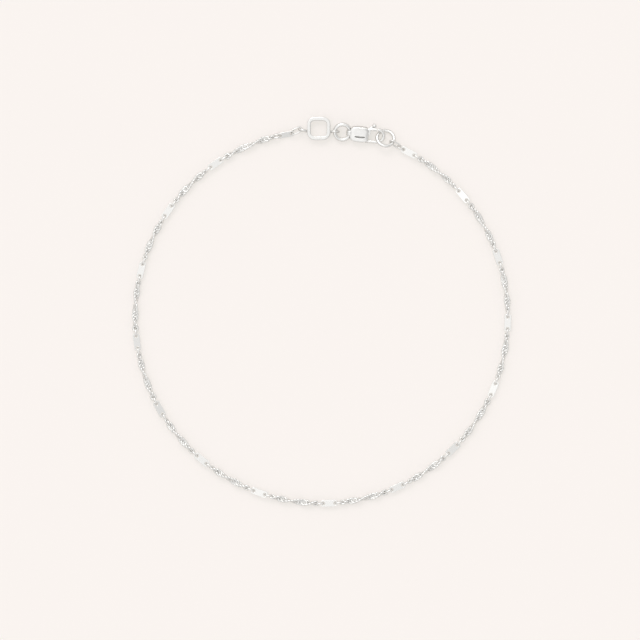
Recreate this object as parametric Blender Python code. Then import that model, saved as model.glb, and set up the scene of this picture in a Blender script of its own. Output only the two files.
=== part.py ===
"""Chain bracelet of flat plates and twisted chain, closed with a lobster clasp.

The bracelet lies flat as a closed ring. Metres, +Z up. The origin is at the middle of the
bracelet's box, on the surface that it lies on, and the clasp is at the +Y side.
"""

from math import asin, atan2, copysign, cos, pi, radians, sin, sqrt

import bmesh
import bpy
from mathutils import Matrix, Vector

for old_object in list(bpy.data.objects):
    bpy.data.objects.remove(old_object, do_unlink=True)

MM = 0.001

# The loop
LOOP_RADIUS = 28.6 * MM          # to the middle line of the chain
LOOP_CENTRE = Vector((-0.04, -0.79, 0.0)) * MM   # the findings at the clasp stand out past the loop
CHAIN_HEIGHT = 0.55 * MM         # middle line of the chain above the surface

# Flat plates, with a hole near each end
PLATE_LENGTH = 2.62 * MM
PLATE_WIDTH = 1.02 * MM
PLATE_THICKNESS = 0.34 * MM
PLATE_CORNER = 0.36 * MM
PLATE_CHAMFER = 0.06 * MM
PLATE_ROUGHNESS = 0.10
HOLE_OFFSET = 0.92 * MM          # from the plate's middle to the hole's
HOLE_RADIUS = 0.28 * MM

# Fine chain: oval links, seen along the chain
LINK_LENGTH = 1.30 * MM
LINK_WIDTH = 1.10 * MM
LINK_WIRE = 0.12 * MM            # radius of the wire
LINK_ROUGHNESS = 0.12
RUN_RADIUS = 0.46 * MM           # a run of chain stands as a round tube
RUN_GAP = 0.30 * MM              # from a plate's end to the tube
RUN_STEP = 2.2 * MM              # longest step along the tube

# Longer links at the two ends of the chain
CATCH_LINK_WIDTH = 1.16 * MM
LAST_LINK_WIDTH = 1.22 * MM
LONG_LINK_WIRE = 0.135 * MM
RING_WIRE_TURN = radians(-19.0)  # where the long link goes round the end ring
FIRST_LINK_LEAN = radians(64.0)  # the two links there stand crosswise to each other
CATCH_LINK_LEAN = radians(54.0)
LAST_LINK_LEAN = radians(-36.0)  # the last link lies nearly flat, because the last plate leans
LINK_SLACK = 0.07 * MM
LINK_RISE = 0.12 * MM            # how much higher the links' far ends lie than the plates

# Plain link with a soldered loop on each side
PLAIN_CENTRE = Vector((-0.42, 28.93, 0.0)) * MM
PLAIN_WIDTH = 3.60 * MM
PLAIN_HEIGHT = 3.54 * MM
PLAIN_WALL = 0.58 * MM
PLAIN_THICKNESS = 0.62 * MM
PLAIN_CORNER = 1.15 * MM
PLAIN_EDGE = 0.12 * MM
SIDE_LOOP_RADIUS = 0.60 * MM     # to the middle of the wire
SIDE_LOOP_WIRE = 0.165 * MM
SIDE_LOOP_SINK = 0.13 * MM       # how far a loop is let into the link's wall
LEFT_LOOP_DROP = 0.44 * MM       # the loops sit below the link's middle
RIGHT_LOOP_DROP = 0.48 * MM
LEFT_LOOP_TURN = radians(-14.0)  # the left loop points along the chain
PLAIN_LIFT = 0.78 * MM           # its middle above the surface

# Rings
JUMP_RING_CENTRE = Vector((3.22, 28.37, 0.79)) * MM
JUMP_RING_RADIUS = 1.17 * MM
JUMP_RING_WIRE = 0.30 * MM
END_RING_CENTRE = Vector((9.83, 27.43, 0.0)) * MM
END_RING_RADIUS = 1.31 * MM
END_RING_WIRE = 0.25 * MM
END_RING_SLOPE = radians(24.0)   # it leans on the hook
END_RING_SLOPE_HEADING = radians(-14.0)
END_RING_LIFT = 0.01 * MM        # keeps it just off the surface

# Clasp, in its own frame: x from the tail to the hook's tip, y to the gate's side, z up
CLASP_HEADING = radians(-5.3)
CLASP_HEIGHT = 0.79 * MM
CLASP_ROLL = radians(12.0)
BODY_START = -0.08 * MM
BODY_END = 2.87 * MM
BODY_LOW = -1.29 * MM
BODY_HIGH = 1.12 * MM
BODY_HALF_THICKNESS = 0.58 * MM
TAIL_SQUARENESS = 0.66           # 1 is an oval outline, 0 a rectangle
HOOK_SQUARENESS = 0.46           # the same for the half towards the hook
BODY_PLUMPNESS = 0.34            # the same for the section across it
TAIL_RADIUS = 0.58 * MM
TAIL_HALF_LENGTH = 0.42 * MM
TAIL_EDGE = 0.18 * MM
TAIL_EDGE_STEPS = 2
TAIL_BORE_RADIUS = 0.41 * MM
TAIL_BORE_SHIFT = -0.06 * MM     # the bore follows the jump ring's curve
HOOK_WIRE = 0.25 * MM
HOOK_BEND_X = 4.23 * MM
HOOK_BEND_Y = -0.09 * MM
HOOK_BEND_RADIUS = 0.96 * MM
HOOK_ROOT_X = 2.35 * MM
NOSE_X = 4.20 * MM
PIVOT = Vector((2.32, 0.45, 0.0)) * MM
RIVET_RADIUS = 0.16 * MM
RIVET_PROUD = 0.02 * MM
SLOT_HALF_THICKNESS = 0.31 * MM
SLOT_RADIUS = 0.52 * MM          # round the lever's root
SLOT_START = Vector((2.45, -0.44)) * MM   # from here the slot is open to the gate's side
SLOT_PAST = 0.30 * MM            # how far the slot's cutter stands out past the body
SLOT_CORNER = 0.01 * MM
POCKET_CENTRE = Vector((1.55, -0.43)) * MM
POCKET_HALF_LENGTH = 0.82 * MM
POCKET_HALF_WIDTH = 0.16 * MM
POCKET_FLOOR = -0.30 * MM

# Lever: a round root on the rivet with a fan in front, a gate arm and a thumb knob
LEVER_HALF_THICKNESS = 0.25 * MM
LEVER_ROOT_RADIUS = 0.45 * MM
LEVER_BORE_RADIUS = 0.215 * MM
FAN_RADIUS = 0.86 * MM
FAN_START = radians(-48.0)
FAN_END = radians(28.0)
FAN_STEPS = 6
GATE_WIRE = 0.26 * MM
GATE_FOOT = Vector((2.32, 0.50, 0.0)) * MM
GATE_SHOULDER = Vector((2.87, 0.78, 0.0)) * MM
GATE_ELBOW = Vector((3.27, 0.86, 0.0)) * MM
GATE_END = Vector((4.04, 0.86, 0.0)) * MM
KNOB_CENTRE = Vector((3.62, 1.44, 0.0)) * MM
KNOB_RADIUS = 0.32 * MM
KNOB_STEM = 0.17 * MM
STEM_FOOT = Vector((2.95, 0.95, 0.0)) * MM

# Corners on round pieces
LINK_END_STEPS = 6               # round each end of a link, fourteen sides in all
PLATE_CORNER_STEPS = 2
PLAIN_CORNER_STEPS = 5
BODY_SEGMENTS = 24
BODY_RINGS = 12
HOOK_BEND_STEPS = 8
KNOB_SEGMENTS = 12
KNOB_RINGS = 8
ROUND_SIDES = 12
CLASP_SIDES = 16
RING_SIDES = 20
WIRE_BEVEL = 1                   # six sides on a link's wire
HEAVY_WIRE_BEVEL = 2             # eight sides on thicker wire
SHARP_ANGLE = radians(35.0)
WELD = 0.00001 * MM

# Where each plate lies: its angle clockwise from +Y, and how it leans about its own length
PLATES = (
    {"angle": 28.0, "lean": 2.0},
    {"angle": 49.3, "lean": 5.0},
    {"angle": 71.2, "lean": 0.0},
    {"angle": 91.8, "lean": 1.0},
    {"angle": 112.8, "lean": 2.0},
    {"angle": 135.1, "lean": -1.0},
    {"angle": 156.0, "lean": -1.0},
    {"angle": 177.6, "lean": 0.0},
    {"angle": 199.5, "lean": 1.0},
    {"angle": 220.0, "lean": 5.0},
    {"angle": 240.4, "lean": 7.0},
    {"angle": 262.3, "lean": 4.0},
    {"angle": 284.6, "lean": 2.0},
    {"angle": 304.7, "lean": 2.0},
    {"angle": 325.4, "lean": 3.0},
    {"angle": 348.9, "lean": 38.0},
)

# Colours
SILVER = (0.93, 0.93, 0.92, 1.0)


def new_collection(name):
    collection = bpy.data.collections.new(name)
    bpy.context.scene.collection.children.link(collection)
    return collection


bracelet = new_collection("chain_bracelet")
cutters = new_collection("cutters")


def silver(name, roughness):
    """Polished white metal, one material for each piece."""
    material = bpy.data.materials.new(name + "_silver")
    material.use_nodes = True
    shader = material.node_tree.nodes["Principled BSDF"]
    shader.inputs["Base Color"].default_value = SILVER
    shader.inputs["Metallic"].default_value = 1.0
    shader.inputs["Roughness"].default_value = roughness
    return material


def add_piece(name, mesh, place=Matrix.Identity(4), roughness=LINK_ROUGHNESS):
    """A named piece of the bracelet from a mesh in its own frame."""
    piece = bpy.data.objects.new(name, mesh)
    bracelet.objects.link(piece)
    piece.matrix_world = place
    mesh.shade_smooth()
    mesh.set_sharp_from_angle(angle=SHARP_ANGLE)
    mesh.materials.clear()
    mesh.materials.append(silver(name, roughness))
    return piece


def baked_mesh(source):
    """The evaluated mesh of an object, welded, with the object itself removed."""
    bpy.context.view_layer.update()
    graph = bpy.context.evaluated_depsgraph_get()
    mesh = bpy.data.meshes.new_from_object(source.evaluated_get(graph))
    form = bmesh.new()
    form.from_mesh(mesh)
    bmesh.ops.remove_doubles(form, verts=form.verts, dist=WELD)
    bmesh.ops.transform(form, matrix=source.matrix_world, verts=form.verts)
    form.to_mesh(mesh)
    form.free()
    bpy.data.objects.remove(source, do_unlink=True)
    return mesh


def wire_mesh(points, wire_radius, closed, bevel=WIRE_BEVEL):
    """A wire along points: a poly spline with a round bevel and filled caps."""
    curve = bpy.data.curves.new("wire", "CURVE")
    curve.dimensions = "3D"
    curve.bevel_depth = wire_radius
    curve.bevel_resolution = bevel
    curve.use_fill_caps = not closed
    spline = curve.splines.new("POLY")
    spline.points.add(len(points) - 1)
    for point, place in zip(spline.points, points):
        point.co = (*place, 1.0)
    spline.use_cyclic_u = closed
    source = bpy.data.objects.new("wire", curve)
    bracelet.objects.link(source)
    return baked_mesh(source)


def circle_points(radius, sides):
    turns = [2.0 * pi * index / sides for index in range(sides)]
    return [Vector((radius * cos(turn), radius * sin(turn), 0.0)) for turn in turns]


def ring_mesh(radius, wire_radius, sides):
    """A round ring lying in the XY plane, sized to the middle of its wire."""
    return wire_mesh(circle_points(radius, sides), wire_radius, True, HEAVY_WIRE_BEVEL)


def link_mesh(length, width, wire_radius):
    """A link with round ends and straight sides, long along X, sized over its outside."""
    end_radius = width / 2.0 - wire_radius
    end_centre = length / 2.0 - width / 2.0
    points = []
    for side in (1, -1):
        for step in range(LINK_END_STEPS + 1):
            turn = -pi / 2.0 + pi * step / LINK_END_STEPS
            across = end_radius * sin(turn)
            points.append(Vector((end_centre + end_radius * cos(turn), across, 0.0)) * side)
    return wire_mesh(points, wire_radius, True)


def rounded_outline(low, high, corners, steps):
    """Points round a rectangle, with a radius for each corner from low-left anticlockwise."""
    corner_spots = ((low[0], low[1]), (high[0], low[1]), (high[0], high[1]), (low[0], high[1]))
    inward = ((1, 1), (-1, 1), (-1, -1), (1, -1))
    outline = []
    for number, (spot, side, radius) in enumerate(zip(corner_spots, inward, corners)):
        centre = (spot[0] + side[0] * radius, spot[1] + side[1] * radius)
        first_turn = pi + number * pi / 2.0
        for step in range(steps + 1):
            turn = first_turn + step / steps * pi / 2.0
            outline.append(Vector((centre[0] + radius * cos(turn), centre[1] + radius * sin(turn))))
    return outline


def plate_mesh(outlines, thickness, edge, edge_steps=0):
    """A flat plate from closed outlines, the first one outside, with its edges broken."""
    curve = bpy.data.curves.new("plate", "CURVE")
    curve.dimensions = "2D"
    curve.fill_mode = "BOTH"
    curve.extrude = thickness / 2.0 - edge
    curve.bevel_depth = edge
    curve.bevel_resolution = edge_steps
    curve.offset = -edge
    for outline in outlines:
        spline = curve.splines.new("POLY")
        spline.points.add(len(outline) - 1)
        for point, place in zip(spline.points, outline):
            point.co = (place[0], place[1], 0.0, 1.0)
        spline.use_cyclic_u = True
    source = bpy.data.objects.new("plate", curve)
    bracelet.objects.link(source)
    return baked_mesh(source)


def cylinder_mesh(radius, half_length, sides):
    """A cylinder along Z about the origin."""
    form = bmesh.new()
    bmesh.ops.create_cone(form, cap_ends=True, segments=sides, radius1=radius, radius2=radius,
                          depth=2.0 * half_length)
    mesh = bpy.data.meshes.new("cylinder")
    form.to_mesh(mesh)
    form.free()
    return mesh


def combine(base, others, operation):
    """Join meshes to a base mesh, or cut them from it, as one closed body."""
    body = bpy.data.objects.new("body", base)
    bracelet.objects.link(body)
    operands = []
    for mesh in others:
        operand = bpy.data.objects.new("cutter", mesh)
        operand.hide_render = True
        operand.display_type = "WIRE"
        cutters.objects.link(operand)
        operands.append(operand)
        boolean = body.modifiers.new("combine", "BOOLEAN")
        boolean.operation = operation
        boolean.object = operand
    result = baked_mesh(body)
    for operand in operands:
        bpy.data.objects.remove(operand, do_unlink=True)
    return result


def moved(mesh, matrix):
    """The same mesh, moved by a matrix."""
    mesh.transform(matrix)
    return mesh


def turn_x(angle):
    return Matrix.Rotation(angle, 4, "X")


def turn_z(angle):
    return Matrix.Rotation(angle, 4, "Z")


def at(x, y, z):
    return Matrix.Translation((x, y, z))


def lift(height):
    return Vector((0.0, 0.0, height))


def from_loop(place):
    """A frame at a place that is given from the loop's centre."""
    return Matrix.Translation(LOOP_CENTRE + place)


def loop_frame(angle):
    """A frame on the chain's middle line: X along the chain, clockwise, and Z up."""
    spot = Vector((LOOP_RADIUS * sin(angle), LOOP_RADIUS * cos(angle), CHAIN_HEIGHT))
    return from_loop(spot) @ turn_z(-angle)


def build_plates():
    """Sixteen stamped plates that share one mesh form, each leaning a little its own way."""
    half = Vector((PLATE_LENGTH / 2.0, PLATE_WIDTH / 2.0))
    outline = rounded_outline(-half, half, [PLATE_CORNER] * 4, PLATE_CORNER_STEPS)
    blank = plate_mesh([outline], PLATE_THICKNESS, PLATE_CHAMFER)
    holes = []
    for side in (-1, 1):
        hole = cylinder_mesh(HOLE_RADIUS, PLATE_THICKNESS, ROUND_SIDES)
        holes.append(moved(hole, at(side * HOLE_OFFSET, 0.0, 0.0)))
    plate = combine(blank, holes, "DIFFERENCE")
    for number, row in enumerate(PLATES, start=1):
        place = loop_frame(radians(row["angle"])) @ turn_x(radians(row["lean"]))
        add_piece(f"bar_{number:02d}", plate.copy(), place, PLATE_ROUGHNESS)


def end_link_frame(plate, side):
    """The link through a plate's hole, square to the plate: side is 1 past the plate, -1 before it."""
    reach = HOLE_OFFSET + LINK_LENGTH / 2.0 - LINK_WIRE
    angle = radians(plate["angle"]) + side * asin(reach / LOOP_RADIUS)
    return loop_frame(angle) @ turn_x(pi / 2.0 + radians(plate["lean"]))


def build_runs():
    """Fifteen runs of fine chain: a round tube with a real link at each end, in one solid."""
    tube_reach = asin((PLATE_LENGTH / 2.0 + RUN_GAP) / LOOP_RADIUS)
    for number, (plate, next_plate) in enumerate(zip(PLATES, PLATES[1:]), start=1):
        first = radians(plate["angle"]) + tube_reach
        last = radians(next_plate["angle"]) - tube_reach
        steps = int((last - first) * LOOP_RADIUS / RUN_STEP) + 1
        angles = [first + (last - first) * step / steps for step in range(steps + 1)]
        spots = [loop_frame(angle).translation for angle in angles]
        tube = wire_mesh(spots, RUN_RADIUS, False, HEAVY_WIRE_BEVEL)
        ends = []
        for end_plate, side in ((plate, 1), (next_plate, -1)):
            link = link_mesh(LINK_LENGTH, LINK_WIDTH, LINK_WIRE)
            ends.append(moved(link, end_link_frame(end_plate, side)))
        add_piece(f"twist_run_{number:02d}", combine(tube, ends, "UNION"))


def side_loop_frame(side):
    """Where a soldered loop's middle is, from the plain link's middle: side is -1 left, 1 right."""
    reach = SIDE_LOOP_RADIUS + SIDE_LOOP_WIRE - SIDE_LOOP_SINK
    drop, turn = (LEFT_LOOP_DROP, LEFT_LOOP_TURN) if side < 0 else (RIGHT_LOOP_DROP, 0.0)
    wall = at(side * PLAIN_WIDTH / 2.0, -drop, 0.0)
    return wall @ turn_z(turn) @ at(side * reach, 0.0, 0.0)


def build_plain_link():
    """A flat rounded square link with an upright soldered loop on each side."""
    half = Vector((PLAIN_WIDTH / 2.0, PLAIN_HEIGHT / 2.0))
    wall = Vector((PLAIN_WALL, PLAIN_WALL))
    outer = rounded_outline(-half, half, [PLAIN_CORNER] * 4, PLAIN_CORNER_STEPS)
    inner_corner = PLAIN_CORNER - PLAIN_WALL
    inner = rounded_outline(wall - half, half - wall, [inner_corner] * 4, PLAIN_CORNER_STEPS)
    link = plate_mesh([outer, inner], PLAIN_THICKNESS, PLAIN_EDGE)
    loops = []
    for side in (-1, 1):
        loop = ring_mesh(SIDE_LOOP_RADIUS, SIDE_LOOP_WIRE, ROUND_SIDES)
        loops.append(moved(loop, side_loop_frame(side) @ turn_x(pi / 2.0)))
    add_piece("plain_link", combine(link, loops, "UNION"), from_loop(PLAIN_CENTRE + lift(PLAIN_LIFT)))


def end_ring_frame():
    """The end ring's plane: its +Y side rests on the surface and its other side is on the hook."""
    height = END_RING_RADIUS * sin(END_RING_SLOPE) + END_RING_WIRE + END_RING_LIFT
    place = from_loop(END_RING_CENTRE + lift(height))
    return place @ turn_z(END_RING_SLOPE_HEADING) @ turn_x(-END_RING_SLOPE)


def build_rings():
    """The jump ring at the clasp's tail, and the end ring that leans on the hook."""
    ring = ring_mesh(JUMP_RING_RADIUS, JUMP_RING_WIRE, RING_SIDES)
    add_piece("jump_ring", ring, from_loop(JUMP_RING_CENTRE) @ turn_x(CLASP_ROLL))
    ring = ring_mesh(END_RING_RADIUS, END_RING_WIRE, RING_SIDES)
    add_piece("end_ring", ring, end_ring_frame())


def link_place(start, towards, length, wire_radius, lean):
    """A link whose wire's middle is at start and that points towards a spot: lean 90 is upright."""
    along = (towards - start).normalized()
    centre = start + along * (length / 2.0 - wire_radius)
    return Matrix.Translation(centre) @ along.to_track_quat("X", "Z").to_matrix().to_4x4() @ turn_x(lean)


def add_long_link(name, start, caught, caught_radius, width, lean):
    """A link from a start to just past the middle of a wire that it goes round."""
    length = (caught - start).length + caught_radius + LINK_SLACK + 3.0 * LONG_LINK_WIRE
    place = link_place(start, caught, length, LONG_LINK_WIRE, lean)
    add_piece(name, link_mesh(length, width, LONG_LINK_WIRE), place)


def build_end_links():
    """The links that tie the first and the last plate to the findings."""
    first_hole = loop_frame(radians(PLATES[0]["angle"])) @ Vector((-HOLE_OFFSET, 0.0, 0.0))
    last_hole = loop_frame(radians(PLATES[-1]["angle"])) @ Vector((HOLE_OFFSET, 0.0, 0.0))
    turn = RING_WIRE_TURN
    ring_wire = end_ring_frame() @ Vector((END_RING_RADIUS * cos(turn), END_RING_RADIUS * sin(turn), 0.0))

    link = link_mesh(LINK_LENGTH, LINK_WIDTH, LINK_WIRE)
    target = Vector((ring_wire.x, ring_wire.y, first_hole.z + LINK_RISE))
    place = link_place(first_hole, target, LINK_LENGTH, LINK_WIRE, FIRST_LINK_LEAN)
    add_piece("end_link_01", link, place)

    far_end = place @ Vector((LINK_LENGTH / 2.0 - LINK_WIRE, 0.0, 0.0))
    back = (ring_wire - far_end).normalized() * (END_RING_WIRE + LONG_LINK_WIRE + LINK_SLACK)
    add_long_link("catch_link", ring_wire + back, far_end, LINK_WIRE, CATCH_LINK_WIDTH, CATCH_LINK_LEAN)

    loop_wire = from_loop(PLAIN_CENTRE) @ side_loop_frame(-1) @ Vector((-SIDE_LOOP_RADIUS, 0.0, 0.0))
    loop_wire.z = CHAIN_HEIGHT + LINK_RISE
    add_long_link("end_link_16", last_hole, loop_wire, SIDE_LOOP_WIRE, LAST_LINK_WIDTH, LAST_LINK_LEAN)


def clasp_frame():
    """The clasp's tail eye is on the jump ring's wire, and the clasp points on along the chain."""
    tail = JUMP_RING_CENTRE + Vector((cos(CLASP_HEADING), sin(CLASP_HEADING), 0.0)) * JUMP_RING_RADIUS
    tail.z = CLASP_HEIGHT
    return from_loop(tail) @ turn_z(CLASP_HEADING) @ turn_x(CLASP_ROLL)


def hook_points():
    """The hook's middle line: along the body's far side, round the bend and back to the nose."""
    near = HOOK_BEND_Y - HOOK_BEND_RADIUS
    points = [Vector((HOOK_ROOT_X, near, 0.0))]
    for step in range(HOOK_BEND_STEPS + 1):
        turn = -pi / 2.0 + pi * step / HOOK_BEND_STEPS
        points.append(Vector((HOOK_BEND_X + HOOK_BEND_RADIUS * cos(turn),
                              HOOK_BEND_Y + HOOK_BEND_RADIUS * sin(turn), 0.0)))
    points.append(Vector((NOSE_X, HOOK_BEND_Y + HOOK_BEND_RADIUS, 0.0)))
    return points


def swollen(share, power):
    """A ball's coordinate, moved out towards the corners of its box."""
    return copysign(abs(share) ** power, share)


def plump_mesh():
    """The clasp's plump body without its cuts: a ball swollen towards the corners of its box."""
    middle = Vector(((BODY_START + BODY_END) / 2.0, (BODY_LOW + BODY_HIGH) / 2.0, 0.0))
    half = Vector(((BODY_END - BODY_START) / 2.0, (BODY_HIGH - BODY_LOW) / 2.0, BODY_HALF_THICKNESS))
    form = bmesh.new()
    bmesh.ops.create_uvsphere(form, u_segments=BODY_SEGMENTS, v_segments=BODY_RINGS, radius=1.0)
    for vert in form.verts:
        rise = vert.co.z
        spread = sqrt(max(0.0, 1.0 - rise * rise))
        reach = spread ** BODY_PLUMPNESS
        turn = atan2(vert.co.y, vert.co.x)
        squareness = TAIL_SQUARENESS if vert.co.x < 0.0 else HOOK_SQUARENESS
        vert.co.x = middle.x + half.x * reach * swollen(cos(turn), squareness)
        vert.co.y = middle.y + half.y * reach * swollen(sin(turn), squareness)
        vert.co.z = half.z * swollen(rise, BODY_PLUMPNESS)
    mesh = bpy.data.meshes.new("plump")
    form.to_mesh(mesh)
    form.free()
    return mesh


def lever_slot():
    """The space in the body that the lever turns in, round its root and open to the gate's side."""
    high = Vector((BODY_END + SLOT_PAST, BODY_HIGH + SLOT_PAST))
    outline = rounded_outline(SLOT_START, high, [SLOT_CORNER] * 4, 1)
    sweep = plate_mesh([outline], 2.0 * SLOT_HALF_THICKNESS, 0.0)
    root = moved(cylinder_mesh(SLOT_RADIUS, SLOT_HALF_THICKNESS, CLASP_SIDES), Matrix.Translation(PIVOT))
    return combine(root, [sweep], "UNION")


def build_clasp_body():
    """A plump body with a tail eye, a round hook, a slot for the lever and the rivet across it."""
    hook = wire_mesh(hook_points(), HOOK_WIRE, False, HEAVY_WIRE_BEVEL)
    circle = circle_points(TAIL_RADIUS, CLASP_SIDES)
    tail = plate_mesh([circle], 2.0 * TAIL_HALF_LENGTH, TAIL_EDGE, TAIL_EDGE_STEPS)
    body = combine(plump_mesh(), [hook, moved(tail, turn_x(pi / 2.0))], "UNION")

    bore = moved(cylinder_mesh(TAIL_BORE_RADIUS, 2.0 * TAIL_HALF_LENGTH, CLASP_SIDES), turn_x(pi / 2.0))
    pocket = cylinder_mesh(1.0, BODY_HALF_THICKNESS, CLASP_SIDES)
    stretch = Matrix.Diagonal((POCKET_HALF_LENGTH, POCKET_HALF_WIDTH, 1.0, 1.0))
    pocket_place = at(POCKET_CENTRE.x, POCKET_CENTRE.y, BODY_HALF_THICKNESS + POCKET_FLOOR)
    cuts = [moved(bore, at(TAIL_BORE_SHIFT, 0.0, 0.0)), moved(pocket, pocket_place @ stretch), lever_slot()]
    body = combine(body, cuts, "DIFFERENCE")

    rivet = cylinder_mesh(RIVET_RADIUS, BODY_HALF_THICKNESS + RIVET_PROUD, ROUND_SIDES)
    body = combine(body, [moved(rivet, Matrix.Translation(PIVOT))], "UNION")
    add_piece("clasp_body", body, clasp_frame())


def build_clasp_lever():
    """The gate with its root, fan and thumb knob. Its origin is on the rivet's axis."""
    root = cylinder_mesh(LEVER_ROOT_RADIUS, LEVER_HALF_THICKNESS, CLASP_SIDES)
    turns = [FAN_START + (FAN_END - FAN_START) * step / FAN_STEPS for step in range(FAN_STEPS + 1)]
    outline = [Vector((0.0, 0.0, 0.0))]
    outline += [Vector((FAN_RADIUS * cos(turn), FAN_RADIUS * sin(turn), 0.0)) for turn in turns]
    fan = plate_mesh([outline], 2.0 * LEVER_HALF_THICKNESS, 0.0)
    gate_points = [spot - PIVOT for spot in (GATE_FOOT, GATE_SHOULDER, GATE_ELBOW, GATE_END)]
    gate = wire_mesh(gate_points, GATE_WIRE, False, HEAVY_WIRE_BEVEL)
    knob_spot = KNOB_CENTRE - PIVOT
    stem = wire_mesh([STEM_FOOT - PIVOT, knob_spot], KNOB_STEM, False, WIRE_BEVEL)
    form = bmesh.new()
    bmesh.ops.create_uvsphere(form, u_segments=KNOB_SEGMENTS, v_segments=KNOB_RINGS, radius=KNOB_RADIUS)
    knob = bpy.data.meshes.new("knob")
    form.to_mesh(knob)
    form.free()
    lever = combine(root, [fan, gate, stem, moved(knob, Matrix.Translation(knob_spot))], "UNION")
    bore = cylinder_mesh(LEVER_BORE_RADIUS, 2.0 * LEVER_HALF_THICKNESS, ROUND_SIDES)
    lever = combine(lever, [bore], "DIFFERENCE")
    add_piece("clasp_lever", lever, clasp_frame() @ Matrix.Translation(PIVOT))


build_plates()
build_runs()
build_plain_link()
build_rings()
build_end_links()
build_clasp_body()
build_clasp_lever()
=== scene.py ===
"""Looks of the chain bracelet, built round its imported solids.

Metres, +Z up, in the solids' own frame. Every piece stands in the place of the solid that it
replaces and has its size. The fine twisted links are made here, where the solids have plain tubes.
"""

from math import asin, atan2, copysign, cos, pi, radians, sin, sqrt
from random import Random

import bmesh
import bpy
from mathutils import Matrix, Vector


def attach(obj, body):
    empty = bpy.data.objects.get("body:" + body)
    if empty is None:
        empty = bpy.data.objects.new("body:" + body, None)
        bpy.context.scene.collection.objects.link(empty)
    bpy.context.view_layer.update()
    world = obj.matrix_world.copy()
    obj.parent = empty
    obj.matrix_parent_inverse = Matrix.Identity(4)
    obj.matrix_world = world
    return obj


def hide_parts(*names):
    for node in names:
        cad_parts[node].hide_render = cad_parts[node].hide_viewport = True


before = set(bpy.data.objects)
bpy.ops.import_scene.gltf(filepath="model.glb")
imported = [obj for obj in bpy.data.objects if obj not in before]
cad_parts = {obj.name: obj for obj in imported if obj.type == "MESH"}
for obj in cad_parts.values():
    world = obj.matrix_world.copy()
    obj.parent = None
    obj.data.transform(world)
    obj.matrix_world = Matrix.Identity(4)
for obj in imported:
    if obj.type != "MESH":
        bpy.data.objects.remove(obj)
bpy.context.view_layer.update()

MM = 0.001

# The loop
LOOP_RADIUS = 28.6 * MM
LOOP_CENTRE = Vector((-0.04, -0.79, 0.0)) * MM
CHAIN_HEIGHT = 0.55 * MM

# Flat plates
PLATE_LENGTH = 2.62 * MM
PLATE_WIDTH = 1.02 * MM
PLATE_THICKNESS = 0.34 * MM
PLATE_CORNER = 0.36 * MM
PLATE_EDGE = 0.04 * MM
HOLE_OFFSET = 0.92 * MM
HOLE_RADIUS = 0.28 * MM

# Fine links
LINK_LENGTH = 1.30 * MM
LINK_WIDTH = 1.10 * MM
LINK_WIRE = 0.12 * MM
RUN_LINK_WIRE = 0.15 * MM        # of a run's two end links, a little thicker than in the solids
FINE_LENGTH = 1.06 * MM
FINE_WIDTH = 1.03 * MM
FINE_WIRE = 0.145 * MM
FINE_PITCH = 0.44 * MM
RUN_TWIST = radians(-720.0)
TWIST_GATHER = 0.07              # how much faster a run twists near its ends than half way
TWIST_SHIFT = -0.035             # how far the twist lags half way, as a share of the whole
LINK_SWAY = radians(7.0)         # how far a link may turn from its even place
SWAY_SEED = 5

# Longer links
CATCH_LINK_WIDTH = 1.16 * MM
LAST_LINK_WIDTH = 1.22 * MM
LONG_LINK_WIRE = 0.135 * MM
RING_WIRE_TURN = radians(-19.0)
FIRST_LINK_LEAN = radians(64.0)
CATCH_LINK_LEAN = radians(54.0)
LAST_LINK_LEAN = radians(-36.0)
LINK_SLACK = 0.07 * MM
LINK_RISE = 0.12 * MM

# Plain link
PLAIN_CENTRE = Vector((-0.42, 28.93, 0.0)) * MM
PLAIN_WIDTH = 3.60 * MM
PLAIN_HEIGHT = 3.54 * MM
PLAIN_WALL = 0.58 * MM
PLAIN_THICKNESS = 0.62 * MM
PLAIN_CORNER = 1.15 * MM
PLAIN_EDGE = 0.13 * MM
SIDE_LOOP_RADIUS = 0.60 * MM
SIDE_LOOP_WIRE = 0.165 * MM
SIDE_LOOP_SINK = 0.13 * MM
LEFT_LOOP_DROP = 0.44 * MM
RIGHT_LOOP_DROP = 0.48 * MM
LEFT_LOOP_TURN = radians(-14.0)
PLAIN_LIFT = 0.78 * MM

# Rings
JUMP_RING_CENTRE = Vector((3.22, 28.37, 0.79)) * MM
JUMP_RING_RADIUS = 1.17 * MM
JUMP_RING_WIRE = 0.30 * MM
END_RING_CENTRE = Vector((9.83, 27.43, 0.0)) * MM
END_RING_RADIUS = 1.31 * MM
END_RING_WIRE = 0.25 * MM
END_RING_SLOPE = radians(24.0)
END_RING_SLOPE_HEADING = radians(-14.0)
END_RING_LIFT = 0.01 * MM

# Clasp, in its own frame: x from the tail to the hook's tip, y to the gate's side, z up
CLASP_HEADING = radians(-5.3)
CLASP_HEIGHT = 0.79 * MM
CLASP_ROLL = radians(12.0)
BODY_START = -0.08 * MM
BODY_END = 2.87 * MM
BODY_LOW = -1.29 * MM
BODY_HIGH = 1.12 * MM
BODY_HALF_THICKNESS = 0.58 * MM
TAIL_SQUARENESS = 0.66           # 1 is an oval outline, 0 a rectangle
HOOK_SQUARENESS = 0.46
BODY_PLUMPNESS = 0.34            # the same for the section across it
TAIL_RADIUS = 0.58 * MM
TAIL_HALF_LENGTH = 0.42 * MM
TAIL_EDGE = 0.18 * MM
TAIL_BORE_RADIUS = 0.41 * MM
TAIL_BORE_SHIFT = -0.06 * MM
HOOK_WIRE = 0.25 * MM
HOOK_BEND_X = 4.23 * MM
HOOK_BEND_Y = -0.09 * MM
HOOK_BEND_RADIUS = 0.96 * MM
HOOK_ROOT_X = 2.35 * MM
NOSE_X = 4.20 * MM
PIVOT = Vector((2.32, 0.45, 0.0)) * MM
RIVET_RADIUS = 0.16 * MM
RIVET_PROUD = 0.02 * MM
SLOT_HALF_THICKNESS = 0.31 * MM
SLOT_RADIUS = 0.52 * MM
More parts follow.
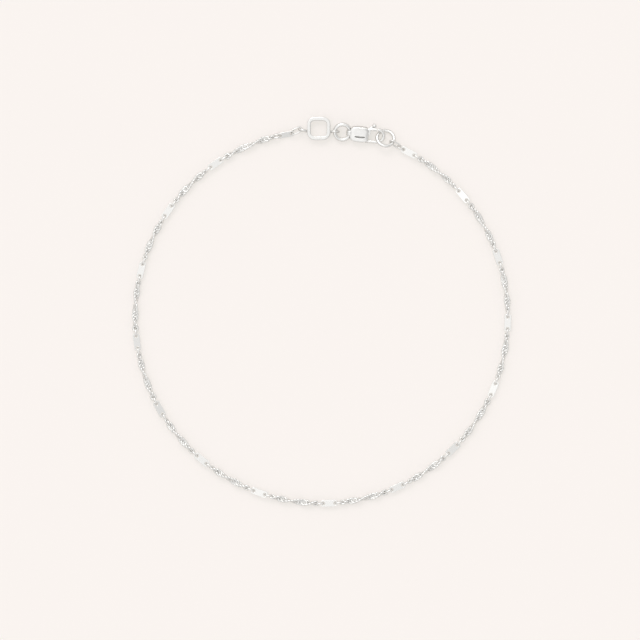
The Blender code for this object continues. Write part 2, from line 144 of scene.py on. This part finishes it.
SLOT_START = Vector((2.45, -0.44)) * MM
SLOT_PAST = 0.30 * MM            # how far the slot's cutter stands out past the body
SLOT_CORNER = 0.01 * MM
POCKET_CENTRE = Vector((1.55, -0.43)) * MM
POCKET_HALF_LENGTH = 0.82 * MM
POCKET_HALF_WIDTH = 0.16 * MM
POCKET_FLOOR = -0.30 * MM
LEVER_HALF_THICKNESS = 0.25 * MM
LEVER_ROOT_RADIUS = 0.45 * MM
LEVER_BORE_RADIUS = 0.215 * MM
FAN_RADIUS = 0.86 * MM
FAN_START = radians(-48.0)
FAN_END = radians(28.0)
FAN_STEPS = 16
FAN_EDGE = 0.05 * MM
GATE_WIRE = 0.26 * MM
GATE_FOOT = Vector((2.32, 0.50, 0.0)) * MM
GATE_SHOULDER = Vector((2.87, 0.78, 0.0)) * MM
GATE_ELBOW = Vector((3.27, 0.86, 0.0)) * MM
GATE_END = Vector((4.04, 0.86, 0.0)) * MM
KNOB_CENTRE = Vector((3.62, 1.44, 0.0)) * MM
KNOB_RADIUS = 0.32 * MM
KNOB_STEM = 0.17 * MM
STEM_FOOT = Vector((2.95, 0.95, 0.0)) * MM

# Smoothness
CORNER_STEPS = 10
EDGE_STEPS = 4
HOLE_SIDES = 32
RING_SIDES = 96
LOOP_SIDES = 48
WIRE_BEVEL = 6
LINK_END_STEPS = 12
BODY_SIDES = 48
BODY_SEGMENTS = 96
BODY_RINGS = 48
BEND_STEPS = 24
KNOB_SIDES = 32
SHARP_ANGLE = radians(50.0)
FLAT_COSINE = 0.9999             # a face that leans less than this allows is part of a flat top
WELD = 0.00001 * MM

# Where each plate lies: its angle clockwise from +Y, and how it leans about its own length
PLATES = (
    {"angle": 28.0, "lean": 2.0},
    {"angle": 49.3, "lean": 5.0},
    {"angle": 71.2, "lean": 0.0},
    {"angle": 91.8, "lean": 1.0},
    {"angle": 112.8, "lean": 2.0},
    {"angle": 135.1, "lean": -1.0},
    {"angle": 156.0, "lean": -1.0},
    {"angle": 177.6, "lean": 0.0},
    {"angle": 199.5, "lean": 1.0},
    {"angle": 220.0, "lean": 5.0},
    {"angle": 240.4, "lean": 7.0},
    {"angle": 262.3, "lean": 4.0},
    {"angle": 284.6, "lean": 2.0},
    {"angle": 304.7, "lean": 2.0},
    {"angle": 325.4, "lean": 3.0},
    {"angle": 348.9, "lean": 38.0},
)

# Camera straight above, as in the photograph
CAMERA_SPOT = Vector((-0.27, -1.25, 520.0)) * MM
VIEW_WIDTH = 98.24 * MM
SENSOR_WIDTH = 36.0
CLIP_START = 0.01
CLIP_END = 10.0

# Studio
FLOOR_SIZE = 3.0
FLOOR_COLOUR = Vector((0.430, 0.364, 0.371))
FLOOR_MOTTLE = 0.985             # how bright the mottle's darker parts are beside the rest
MOTTLE_SCALE = 60.0
FLOOR_GLOW = (0.525, 0.540, 0.499, 1.0)   # the sheet is lit from behind too, which softens the shadows

# Silver
SILVER = Vector((1.0, 0.990, 0.966))
DULL_SHARE = 0.95                # how bright the haze on the silver is beside its clean parts
HAZE_SCALE = 1400.0
HAZE_DETAIL = 4.0
HAZE_RANGE = (0.3, 0.7)          # the noise's values between which the polish changes
POLISH_RANGE = (0.8, 1.3)        # the roughness there, as shares of the silver's own
RUB_SCALE = 9000.0
RUB_DETAIL = 3.0
RUB_STRETCH = (1.0, 0.25, 1.0)
RUB_TURN = (0.0, 0.0, 0.6)
RUB_HEIGHT = 0.001 * MM


def add_camera():
    data = bpy.data.cameras.new("camera")
    data.sensor_width = SENSOR_WIDTH
    data.lens = SENSOR_WIDTH * (CAMERA_SPOT.z - CHAIN_HEIGHT) / VIEW_WIDTH
    data.clip_start = CLIP_START
    data.clip_end = CLIP_END
    camera = bpy.data.objects.new("camera", data)
    camera.location = CAMERA_SPOT
    bpy.context.scene.collection.objects.link(camera)
    bpy.context.scene.camera = camera


def add_node(tree, kind, **values):
    """A node with its own settings, such as its operation, set by name."""
    node = tree.nodes.new(kind)
    for key, value in values.items():
        setattr(node, key, value)
    return node


def silver(name, shine, roughness, painted_edge_shade, rub_depth):
    """Silver with an uneven polish, a faint haze and fine rub marks, all from noise.

    Shine is the share of light that it gives back seen straight on. The edge tint is that share at a
    grazing angle. It is set dark, so it paints dark outlines along every edge: a painted shade in place of
    the shaded floor that the edges reflect.
    """
    material = bpy.data.materials.new(name)
    material.use_nodes = True
    tree = material.node_tree
    shader = tree.nodes["Principled BSDF"]
    shader.inputs["Metallic"].default_value = 1.0
    # The dark grazing-angle tint is painted shade: it draws dark outlines at the edges, in place of the
    # shaded floor that they would reflect.
    shader.inputs["Specular Tint"].default_value = (painted_edge_shade, painted_edge_shade, painted_edge_shade, 1.0)
    place = add_node(tree, "ShaderNodeTexCoord")

    haze = add_node(tree, "ShaderNodeTexNoise")
    haze.inputs["Scale"].default_value = HAZE_SCALE
    haze.inputs["Detail"].default_value = HAZE_DETAIL
    tree.links.new(place.outputs["Object"], haze.inputs["Vector"])

    polish = add_node(tree, "ShaderNodeMapRange")
    polish.inputs["From Min"].default_value = HAZE_RANGE[0]
    polish.inputs["From Max"].default_value = HAZE_RANGE[1]
    polish.inputs["To Min"].default_value = roughness * POLISH_RANGE[0]
    polish.inputs["To Max"].default_value = roughness * POLISH_RANGE[1]
    tree.links.new(haze.outputs["Fac"], polish.inputs["Value"])
    tree.links.new(polish.outputs["Result"], shader.inputs["Roughness"])

    tint = add_node(tree, "ShaderNodeMix", data_type="RGBA")
    tint.inputs["A"].default_value = (*(SILVER * shine), 1.0)
    tint.inputs["B"].default_value = (*(SILVER * shine * DULL_SHARE), 1.0)
    tree.links.new(haze.outputs["Fac"], tint.inputs["Factor"])
    tree.links.new(tint.outputs["Result"], shader.inputs["Base Color"])

    rub = add_node(tree, "ShaderNodeTexNoise")
    rub.inputs["Scale"].default_value = RUB_SCALE
    rub.inputs["Detail"].default_value = RUB_DETAIL
    stretch = add_node(tree, "ShaderNodeMapping")
    stretch.inputs["Scale"].default_value = RUB_STRETCH
    stretch.inputs["Rotation"].default_value = RUB_TURN
    tree.links.new(place.outputs["Object"], stretch.inputs["Vector"])
    tree.links.new(stretch.outputs["Vector"], rub.inputs["Vector"])
    bump = add_node(tree, "ShaderNodeBump")
    bump.inputs["Strength"].default_value = rub_depth
    bump.inputs["Distance"].default_value = RUB_HEIGHT
    tree.links.new(rub.outputs["Fac"], bump.inputs["Height"])
    tree.links.new(bump.outputs["Normal"], shader.inputs["Normal"])
    return material


# The low edge tints of these silvers paint dark outlines along their edges: painted shade.
POLISHED = silver("polished_silver", shine=0.99, roughness=0.10, painted_edge_shade=0.25, rub_depth=0.25)
RING_SILVER = silver("ring_silver", shine=0.88, roughness=0.24, painted_edge_shade=0.30, rub_depth=0.15)
CHAIN_SILVER = silver("chain_silver", shine=0.895, roughness=0.30, painted_edge_shade=0.50, rub_depth=0.25)
CAST_SILVER = silver("cast_silver", shine=0.89, roughness=0.28, painted_edge_shade=0.45, rub_depth=0.06)


def add_piece(name, mesh, node, body, material, place=Matrix.Identity(4), flat_top=False):
    """A piece that stands for a node and rides on its body. A flat top shades as a true flat face."""
    mesh.shade_smooth()
    mesh.set_sharp_from_angle(angle=SHARP_ANGLE)
    if flat_top:
        for face in mesh.polygons:
            face.use_smooth = abs(face.normal.z) < FLAT_COSINE
    mesh.transform(place)
    mesh.materials.clear()
    mesh.materials.append(material)
    piece = bpy.data.objects.new(name, mesh)
    bpy.context.scene.collection.objects.link(piece)
    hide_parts(node)
    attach(piece, body)


def baked_mesh(source):
    """The evaluated mesh of an object, welded, with the object itself removed."""
    bpy.context.view_layer.update()
    graph = bpy.context.evaluated_depsgraph_get()
    mesh = bpy.data.meshes.new_from_object(source.evaluated_get(graph))
    form = bmesh.new()
    form.from_mesh(mesh)
    bmesh.ops.remove_doubles(form, verts=form.verts, dist=WELD)
    bmesh.ops.transform(form, matrix=source.matrix_world, verts=form.verts)
    form.to_mesh(mesh)
    form.free()
    bpy.data.objects.remove(source, do_unlink=True)
    return mesh


def curve_mesh(splines, dimensions, closed, **settings):
    """A mesh from poly splines and the curve's own bevel settings."""
    curve = bpy.data.curves.new("curve", "CURVE")
    curve.dimensions = dimensions
    for key, value in settings.items():
        setattr(curve, key, value)
    for points in splines:
        spline = curve.splines.new("POLY")
        spline.points.add(len(points) - 1)
        for point, place in zip(spline.points, points):
            point.co = (*place.to_3d(), 1.0)
        spline.use_cyclic_u = closed
    source = bpy.data.objects.new("curve", curve)
    bpy.context.scene.collection.objects.link(source)
    return baked_mesh(source)


def wire_mesh(points, wire_radius, closed):
    """A round wire along points."""
    return curve_mesh([points], "3D", closed, bevel_depth=wire_radius, bevel_resolution=WIRE_BEVEL,
                      use_fill_caps=not closed)


def flat_mesh(outlines, thickness, edge):
    """A flat piece from closed outlines, the first one outside, with rounded edges."""
    return curve_mesh(outlines, "2D", True, fill_mode="BOTH", extrude=thickness / 2.0 - edge,
                      bevel_depth=edge, bevel_resolution=EDGE_STEPS, offset=-edge)


def circle_points(radius, sides, x=0.0):
    turns = [2.0 * pi * index / sides for index in range(sides)]
    return [Vector((x + radius * cos(turn), radius * sin(turn), 0.0)) for turn in turns]


def rounded_outline(low, high, corners, steps=CORNER_STEPS):
    """Points round a rectangle, with a radius for each corner from low-left anticlockwise."""
    corner_spots = ((low[0], low[1]), (high[0], low[1]), (high[0], high[1]), (low[0], high[1]))
    inward = ((1, 1), (-1, 1), (-1, -1), (1, -1))
    outline = []
    for number, (spot, side, radius) in enumerate(zip(corner_spots, inward, corners)):
        centre = (spot[0] + side[0] * radius, spot[1] + side[1] * radius)
        first_turn = pi + number * pi / 2.0
        for step in range(steps + 1):
            turn = first_turn + step / steps * pi / 2.0
            outline.append(Vector((centre[0] + radius * cos(turn), centre[1] + radius * sin(turn))))
    return outline


def cylinder_mesh(radius, half_length, sides):
    form = bmesh.new()
    bmesh.ops.create_cone(form, cap_ends=True, segments=sides, radius1=radius, radius2=radius,
                          depth=2.0 * half_length)
    mesh = bpy.data.meshes.new("cylinder")
    form.to_mesh(mesh)
    form.free()
    return mesh


def ball_mesh(radius):
    form = bmesh.new()
    bmesh.ops.create_uvsphere(form, u_segments=KNOB_SIDES, v_segments=KNOB_SIDES // 2, radius=radius)
    mesh = bpy.data.meshes.new("ball")
    form.to_mesh(mesh)
    form.free()
    return mesh


def combine(base, others, operation):
    """Join meshes to a base mesh, or cut them from it."""
    body = bpy.data.objects.new("body", base)
    bpy.context.scene.collection.objects.link(body)
    operands = []
    for mesh in others:
        operand = bpy.data.objects.new("cutter", mesh)
        bpy.context.scene.collection.objects.link(operand)
        operands.append(operand)
        boolean = body.modifiers.new("combine", "BOOLEAN")
        boolean.operation = operation
        boolean.object = operand
    result = baked_mesh(body)
    for operand in operands:
        bpy.data.objects.remove(operand, do_unlink=True)
    return result


def joined(meshes):
    """One mesh that holds several, as they are."""
    form = bmesh.new()
    for mesh in meshes:
        form.from_mesh(mesh)
    result = bpy.data.meshes.new("joined")
    form.to_mesh(result)
    form.free()
    return result


def moved(mesh, matrix):
    mesh.transform(matrix)
    return mesh


def turn_x(angle):
    return Matrix.Rotation(angle, 4, "X")


def turn_y(angle):
    return Matrix.Rotation(angle, 4, "Y")


def turn_z(angle):
    return Matrix.Rotation(angle, 4, "Z")


def at(x, y, z):
    return Matrix.Translation((x, y, z))


def lift(height):
    return Vector((0.0, 0.0, height))


def from_loop(place):
    """A frame at a place that is given from the loop's centre."""
    return Matrix.Translation(LOOP_CENTRE + place)


def loop_frame(angle):
    """A frame on the chain's middle line: X along the chain, clockwise, and Z up."""
    spot = Vector((LOOP_RADIUS * sin(angle), LOOP_RADIUS * cos(angle), CHAIN_HEIGHT))
    return from_loop(spot) @ turn_z(-angle)


# Corners of a fine link's wire, as shares of its radius: outward in the link's plane, then up
LINK_SECTION = ((1.0, 0.42), (0.46, 0.96), (-0.46, 0.96), (-1.0, 0.42),
                (-1.0, -0.42), (-0.46, -0.96), (0.46, -0.96), (1.0, -0.42))


def add_link(form, length, width, wire, place):
    """A closed link with round ends and an eight-sided wire, added to a form."""
    end_radius = width / 2.0 - wire
    end_centre = length / 2.0 - width / 2.0
    rows = []
    for side in (1, -1):
        for step in range(LINK_END_STEPS + 1):
            turn = -pi / 2.0 + pi * step / LINK_END_STEPS
            outward = Vector((cos(turn), sin(turn), 0.0)) * side
            middle = outward * end_radius + Vector((side * end_centre, 0.0, 0.0))
            row = []
            for share_out, share_up in LINK_SECTION:
                spot = middle + outward * (wire * share_out) + lift(wire * share_up)
                row.append(form.verts.new(place @ spot))
            rows.append(row)
    for row, next_row in zip(rows, rows[1:] + rows[:1]):
        for corner in range(len(LINK_SECTION)):
            follow = (corner + 1) % len(LINK_SECTION)
            form.faces.new((row[corner], row[follow], next_row[follow], next_row[corner]))


def links_mesh(form):
    """The mesh of the links in a form, which it frees."""
    bmesh.ops.recalc_face_normals(form, faces=form.faces)
    mesh = bpy.data.meshes.new("links")
    form.to_mesh(mesh)
    form.free()
    return mesh


def link_mesh(length, width, wire, place):
    form = bmesh.new()
    add_link(form, length, width, wire, place)
    return links_mesh(form)


def build_plates():
    half = Vector((PLATE_LENGTH / 2.0, PLATE_WIDTH / 2.0))
    outline = rounded_outline(-half, half, [PLATE_CORNER] * 4)
    holes = [circle_points(HOLE_RADIUS, HOLE_SIDES, side * HOLE_OFFSET) for side in (-1, 1)]
    plate = flat_mesh([outline] + holes, PLATE_THICKNESS, PLATE_EDGE)
    for number, row in enumerate(PLATES, start=1):
        place = loop_frame(radians(row["angle"])) @ turn_x(radians(row["lean"]))
        node = f"bar_{number:02d}"
        add_piece(f"plate_{number:02d}", plate.copy(), node, "bracelet", POLISHED, place, True)


def build_runs():
    """Fifteen runs: an end link in each plate's hole, and close fine links that twist between them."""
    chance = Random(SWAY_SEED)
    end_reach = HOLE_OFFSET + LINK_LENGTH / 2.0 - LINK_WIRE
    fine_reach = end_reach + (LINK_LENGTH + FINE_LENGTH) / 2.0 - 2.0 * (LINK_WIRE + FINE_WIRE)
    for number, (plate, next_plate) in enumerate(zip(PLATES, PLATES[1:]), start=1):
        start = radians(plate["angle"]) * LOOP_RADIUS
        end = radians(next_plate["angle"]) * LOOP_RADIUS
        first_roll = pi / 2.0 + radians(plate["lean"])
        last_roll = pi / 2.0 + radians(next_plate["lean"]) + RUN_TWIST
        form = bmesh.new()
        for spot, roll in ((start + end_reach, first_roll), (end - end_reach, last_roll)):
            place = loop_frame(spot / LOOP_RADIUS) @ turn_x(roll)
            add_link(form, LINK_LENGTH, LINK_WIDTH, RUN_LINK_WIRE, place)
        stretch = end - start - 2.0 * fine_reach
        intervals = round(stretch / FINE_PITCH)
        for step in range(intervals + 1):
            spot = start + fine_reach + stretch * step / intervals
            share = (spot - start - HOLE_OFFSET) / (end - start - 2.0 * HOLE_OFFSET)
            share += TWIST_GATHER * sin(2.0 * pi * share) + TWIST_SHIFT * sin(pi * share)
            roll = first_roll + (last_roll - first_roll) * share + chance.uniform(-LINK_SWAY, LINK_SWAY)
            sway = turn_y(chance.uniform(-LINK_SWAY, LINK_SWAY))
            place = loop_frame(spot / LOOP_RADIUS) @ turn_x(roll) @ sway
            add_link(form, FINE_LENGTH, FINE_WIDTH, FINE_WIRE, place)
        node = f"twist_run_{number:02d}"
        add_piece(f"chain_{number:02d}", links_mesh(form), node, "bracelet", CHAIN_SILVER)


def side_loop_frame(side):
    """Where a soldered loop's middle is, from the plain link's middle: side is -1 left, 1 right."""
    reach = SIDE_LOOP_RADIUS + SIDE_LOOP_WIRE - SIDE_LOOP_SINK
    drop, turn = (LEFT_LOOP_DROP, LEFT_LOOP_TURN) if side < 0 else (RIGHT_LOOP_DROP, 0.0)
    wall = at(side * PLAIN_WIDTH / 2.0, -drop, 0.0)
    return wall @ turn_z(turn) @ at(side * reach, 0.0, 0.0)


def build_plain_link():
    half = Vector((PLAIN_WIDTH / 2.0, PLAIN_HEIGHT / 2.0))
    wall = Vector((PLAIN_WALL, PLAIN_WALL))
    outer = rounded_outline(-half, half, [PLAIN_CORNER] * 4)
    inner = rounded_outline(wall - half, half - wall, [PLAIN_CORNER - PLAIN_WALL] * 4)
    parts = [flat_mesh([outer, inner], PLAIN_THICKNESS, PLAIN_EDGE)]
    for side in (-1, 1):
        loop = wire_mesh(circle_points(SIDE_LOOP_RADIUS, LOOP_SIDES), SIDE_LOOP_WIRE, True)
        parts.append(moved(loop, side_loop_frame(side) @ turn_x(pi / 2.0)))
    place = from_loop(PLAIN_CENTRE + lift(PLAIN_LIFT))
    add_piece("open_link", joined(parts), "plain_link", "bracelet", RING_SILVER, place, True)


def end_ring_frame():
    height = END_RING_RADIUS * sin(END_RING_SLOPE) + END_RING_WIRE + END_RING_LIFT
    place = from_loop(END_RING_CENTRE + lift(height))
    return place @ turn_z(END_RING_SLOPE_HEADING) @ turn_x(-END_RING_SLOPE)


def build_rings():
    ring = wire_mesh(circle_points(JUMP_RING_RADIUS, RING_SIDES), JUMP_RING_WIRE, True)
    place = from_loop(JUMP_RING_CENTRE) @ turn_x(CLASP_ROLL)
    add_piece("small_ring", ring, "jump_ring", "bracelet", RING_SILVER, place)
    ring = wire_mesh(circle_points(END_RING_RADIUS, RING_SIDES), END_RING_WIRE, True)
    add_piece("catch_ring", ring, "end_ring", "bracelet", RING_SILVER, end_ring_frame())


def link_place(start, towards, length, wire, lean):
    """A link whose wire's middle is at start and that points towards a spot: lean 90 is upright."""
    along = (towards - start).normalized()
    centre = start + along * (length / 2.0 - wire)
    return Matrix.Translation(centre) @ along.to_track_quat("X", "Z").to_matrix().to_4x4() @ turn_x(lean)


def add_long_link(name, node, start, caught, caught_radius, width, lean):
    """A link from a start to just past the middle of a wire that it goes round."""
    length = (caught - start).length + caught_radius + LINK_SLACK + 3.0 * LONG_LINK_WIRE
    place = link_place(start, caught, length, LONG_LINK_WIRE, lean)
    add_piece(name, link_mesh(length, width, LONG_LINK_WIRE, place), node, "bracelet", CHAIN_SILVER)


def build_end_links():
    first_hole = loop_frame(radians(PLATES[0]["angle"])) @ Vector((-HOLE_OFFSET, 0.0, 0.0))
    last_hole = loop_frame(radians(PLATES[-1]["angle"])) @ Vector((HOLE_OFFSET, 0.0, 0.0))
    turn = RING_WIRE_TURN
    ring_wire = end_ring_frame() @ Vector((END_RING_RADIUS * cos(turn), END_RING_RADIUS * sin(turn), 0.0))

    target = Vector((ring_wire.x, ring_wire.y, first_hole.z + LINK_RISE))
    place = link_place(first_hole, target, LINK_LENGTH, LINK_WIRE, FIRST_LINK_LEAN)
    mesh = link_mesh(LINK_LENGTH, LINK_WIDTH, LINK_WIRE, place)
    add_piece("first_link", mesh, "end_link_01", "bracelet", CHAIN_SILVER)

    far_end = place @ Vector((LINK_LENGTH / 2.0 - LINK_WIRE, 0.0, 0.0))
    back = (ring_wire - far_end).normalized() * (END_RING_WIRE + LONG_LINK_WIRE + LINK_SLACK)
    add_long_link("ring_link", "catch_link", ring_wire + back, far_end, LINK_WIRE, CATCH_LINK_WIDTH,
                  CATCH_LINK_LEAN)

    loop_wire = from_loop(PLAIN_CENTRE) @ side_loop_frame(-1) @ Vector((-SIDE_LOOP_RADIUS, 0.0, 0.0))
    loop_wire.z = CHAIN_HEIGHT + LINK_RISE
    add_long_link("last_link", "end_link_16", last_hole, loop_wire, SIDE_LOOP_WIRE, LAST_LINK_WIDTH,
                  LAST_LINK_LEAN)


def clasp_frame():
    tail = JUMP_RING_CENTRE + Vector((cos(CLASP_HEADING), sin(CLASP_HEADING), 0.0)) * JUMP_RING_RADIUS
    tail.z = CLASP_HEIGHT
    return from_loop(tail) @ turn_z(CLASP_HEADING) @ turn_x(CLASP_ROLL)


def hook_points():
    near = HOOK_BEND_Y - HOOK_BEND_RADIUS
    points = [Vector((HOOK_ROOT_X, near, 0.0))]
    for step in range(BEND_STEPS + 1):
        turn = -pi / 2.0 + pi * step / BEND_STEPS
        points.append(Vector((HOOK_BEND_X + HOOK_BEND_RADIUS * cos(turn),
                              HOOK_BEND_Y + HOOK_BEND_RADIUS * sin(turn), 0.0)))
    points.append(Vector((NOSE_X, HOOK_BEND_Y + HOOK_BEND_RADIUS, 0.0)))
    return points


def swollen(share, power):
    """A ball's coordinate, moved out towards the corners of its box."""
    return copysign(abs(share) ** power, share)


def plump_mesh():
    """The clasp's plump body without its cuts: a ball swollen towards the corners of its box."""
    middle = Vector(((BODY_START + BODY_END) / 2.0, (BODY_LOW + BODY_HIGH) / 2.0, 0.0))
    half = Vector(((BODY_END - BODY_START) / 2.0, (BODY_HIGH - BODY_LOW) / 2.0, BODY_HALF_THICKNESS))
    form = bmesh.new()
    bmesh.ops.create_uvsphere(form, u_segments=BODY_SEGMENTS, v_segments=BODY_RINGS, radius=1.0)
    for vert in form.verts:
        rise = vert.co.z
        reach = sqrt(max(0.0, 1.0 - rise * rise)) ** BODY_PLUMPNESS
        turn = atan2(vert.co.y, vert.co.x)
        squareness = TAIL_SQUARENESS if vert.co.x < 0.0 else HOOK_SQUARENESS
        vert.co.x = middle.x + half.x * reach * swollen(cos(turn), squareness)
        vert.co.y = middle.y + half.y * reach * swollen(sin(turn), squareness)
        vert.co.z = half.z * swollen(rise, BODY_PLUMPNESS)
    mesh = bpy.data.meshes.new("plump")
    form.to_mesh(mesh)
    form.free()
    return mesh


def lever_slot():
    """The space in the body that the lever turns in."""
    high = Vector((BODY_END + SLOT_PAST, BODY_HIGH + SLOT_PAST))
    outline = rounded_outline(SLOT_START, high, [SLOT_CORNER] * 4, 1)
    sweep = flat_mesh([outline], 2.0 * SLOT_HALF_THICKNESS, 0.0)
    root = moved(cylinder_mesh(SLOT_RADIUS, SLOT_HALF_THICKNESS, BODY_SIDES), Matrix.Translation(PIVOT))
    return combine(root, [sweep], "UNION")


def build_clasp_body():
    hook = wire_mesh(hook_points(), HOOK_WIRE, False)
    tail = flat_mesh([circle_points(TAIL_RADIUS, BODY_SIDES)], 2.0 * TAIL_HALF_LENGTH, TAIL_EDGE)
    body = combine(plump_mesh(), [hook, moved(tail, turn_x(pi / 2.0))], "UNION")

    bore = moved(cylinder_mesh(TAIL_BORE_RADIUS, 2.0 * TAIL_HALF_LENGTH, BODY_SIDES), turn_x(pi / 2.0))
    pocket = cylinder_mesh(1.0, BODY_HALF_THICKNESS, BODY_SIDES)
    stretch = Matrix.Diagonal((POCKET_HALF_LENGTH, POCKET_HALF_WIDTH, 1.0, 1.0))
    pocket_place = at(POCKET_CENTRE.x, POCKET_CENTRE.y, BODY_HALF_THICKNESS + POCKET_FLOOR)
    cuts = [moved(bore, at(TAIL_BORE_SHIFT, 0.0, 0.0)), moved(pocket, pocket_place @ stretch), lever_slot()]
    body = combine(body, cuts, "DIFFERENCE")

    rivet = cylinder_mesh(RIVET_RADIUS, BODY_HALF_THICKNESS + RIVET_PROUD, HOLE_SIDES)
    body = combine(body, [moved(rivet, Matrix.Translation(PIVOT))], "UNION")
    add_piece("clasp_case", body, "clasp_body", "bracelet", CAST_SILVER, clasp_frame())


def build_clasp_lever():
    root = cylinder_mesh(LEVER_ROOT_RADIUS, LEVER_HALF_THICKNESS, BODY_SIDES)
    turns = [FAN_START + (FAN_END - FAN_START) * step / FAN_STEPS for step in range(FAN_STEPS + 1)]
    outline = [Vector((0.0, 0.0, 0.0))]
    outline += [Vector((FAN_RADIUS * cos(turn), FAN_RADIUS * sin(turn), 0.0)) for turn in turns]
    fan = flat_mesh([outline], 2.0 * LEVER_HALF_THICKNESS, FAN_EDGE)
    gate_points = [spot - PIVOT for spot in (GATE_FOOT, GATE_SHOULDER, GATE_ELBOW, GATE_END)]
    gate = wire_mesh(gate_points, GATE_WIRE, False)
    knob_spot = KNOB_CENTRE - PIVOT
    stem = wire_mesh([STEM_FOOT - PIVOT, knob_spot], KNOB_STEM, False)
    knob = moved(ball_mesh(KNOB_RADIUS), Matrix.Translation(knob_spot))
    lever = combine(root, [fan, gate, stem, knob], "UNION")
    bore = cylinder_mesh(LEVER_BORE_RADIUS, 2.0 * LEVER_HALF_THICKNESS, HOLE_SIDES)
    lever = combine(lever, [bore], "DIFFERENCE")
    place = clasp_frame() @ Matrix.Translation(PIVOT)
    add_piece("clasp_gate", lever, "clasp_lever", "lever", CAST_SILVER, place)


def build_floor():
    """A pale sheet with a very faint mottle."""
    material = bpy.data.materials.new("floor")
    material.use_nodes = True
    tree = material.node_tree
    shader = tree.nodes["Principled BSDF"]
    shader.inputs["Roughness"].default_value = 1.0
    shader.inputs["Specular IOR Level"].default_value = 0.0
    place = add_node(tree, "ShaderNodeTexCoord")
    mottle = add_node(tree, "ShaderNodeTexNoise")
    mottle.inputs["Scale"].default_value = MOTTLE_SCALE
    tree.links.new(place.outputs["Object"], mottle.inputs["Vector"])
    tint = add_node(tree, "ShaderNodeMix", data_type="RGBA")
    tint.inputs["A"].default_value = (*FLOOR_COLOUR, 1.0)
    tint.inputs["B"].default_value = (*(FLOOR_COLOUR * FLOOR_MOTTLE), 1.0)
    tree.links.new(mottle.outputs["Fac"], tint.inputs["Factor"])
    tree.links.new(tint.outputs["Result"], shader.inputs["Base Color"])
    shader.inputs["Emission Color"].default_value = FLOOR_GLOW
    shader.inputs["Emission Strength"].default_value = 1.0
    form = bmesh.new()
    bmesh.ops.create_grid(form, x_segments=1, y_segments=1, size=FLOOR_SIZE / 2.0)
    mesh = bpy.data.meshes.new("floor")
    form.to_mesh(mesh)
    form.free()
    mesh.materials.append(material)
    floor = bpy.data.objects.new("floor", mesh)
    bpy.context.scene.collection.objects.link(floor)


# Studio light: a dome whose brightness depends on direction. A patch has the direction of its
# middle, the cosines of the angles where it begins and where it is full, and its strength there:
# a shade keeps that share of the sky, and a lamp adds that brightness.
SKY = 1.0
RIM_TOP = 0.80                   # sine of the height where the darker rim of the dome ends
RIM_SHARE = 0.60
SHADES = (
    {"way": (0.43, -0.10, 0.86), "begins": 0.83, "full": 0.98, "strength": 0.46},
)
LAMPS = (
    {"way": (0.0, 0.0, 1.0), "begins": 0.90, "full": 0.97, "strength": 0.10},
    {"way": (-0.18, 0.64, 0.74), "begins": 0.55, "full": 0.97, "strength": 0.15},
    {"way": (-0.18, 0.64, 0.74), "begins": 0.96, "full": 0.99, "strength": 3.00},
    {"way": (0.04, -0.41, 0.91), "begins": 0.94, "full": 0.98, "strength": 0.14},
)


def build_world():
    """A soft studio dome, darker at the rim, with a small bright lamp inside a large soft one at +Y."""
    world = bpy.data.worlds.new("studio")
    world.use_nodes = True
    bpy.context.scene.world = world
    tree = world.node_tree
    background = tree.nodes["Background"]
    background.inputs["Color"].default_value = (1.0, 1.0, 1.0, 1.0)
    place = add_node(tree, "ShaderNodeTexCoord")
    way = add_node(tree, "ShaderNodeVectorMath", operation="NORMALIZE")
    tree.links.new(place.outputs["Generated"], way.inputs[0])
    apart = add_node(tree, "ShaderNodeSeparateXYZ")
    tree.links.new(way.outputs["Vector"], apart.inputs["Vector"])

    def ramp(source, low, high, start, end):
        step = add_node(tree, "ShaderNodeMapRange", interpolation_type="SMOOTHSTEP")
        step.inputs["From Min"].default_value = low
        step.inputs["From Max"].default_value = high
        step.inputs["To Min"].default_value = start
        step.inputs["To Max"].default_value = end
        tree.links.new(source, step.inputs["Value"])
        return step.outputs["Result"]

    def patch(row, rest):
        dot = add_node(tree, "ShaderNodeVectorMath", operation="DOT_PRODUCT")
        dot.inputs[1].default_value = Vector(row["way"]).normalized()
        tree.links.new(way.outputs["Vector"], dot.inputs[0])
        return ramp(dot.outputs["Value"], row["begins"], row["full"], rest, row["strength"])

    def total(operation, first, second):
        node = add_node(tree, "ShaderNodeMath", operation=operation)
        tree.links.new(first, node.inputs[0])
        tree.links.new(second, node.inputs[1])
        return node.outputs["Value"]

    level = ramp(apart.outputs["Z"], 0.0, RIM_TOP, SKY * RIM_SHARE, SKY)
    for row in SHADES:
        level = total("MULTIPLY", level, patch(row, 1.0))
    for row in LAMPS:
        level = total("ADD", level, patch(row, 0.0))
    tree.links.new(level, background.inputs["Strength"])


bpy.context.scene.view_settings.view_transform = "Standard"
add_camera()
build_plates()
build_runs()
build_plain_link()
build_rings()
build_end_links()
build_clasp_body()
build_clasp_lever()
build_floor()
build_world()
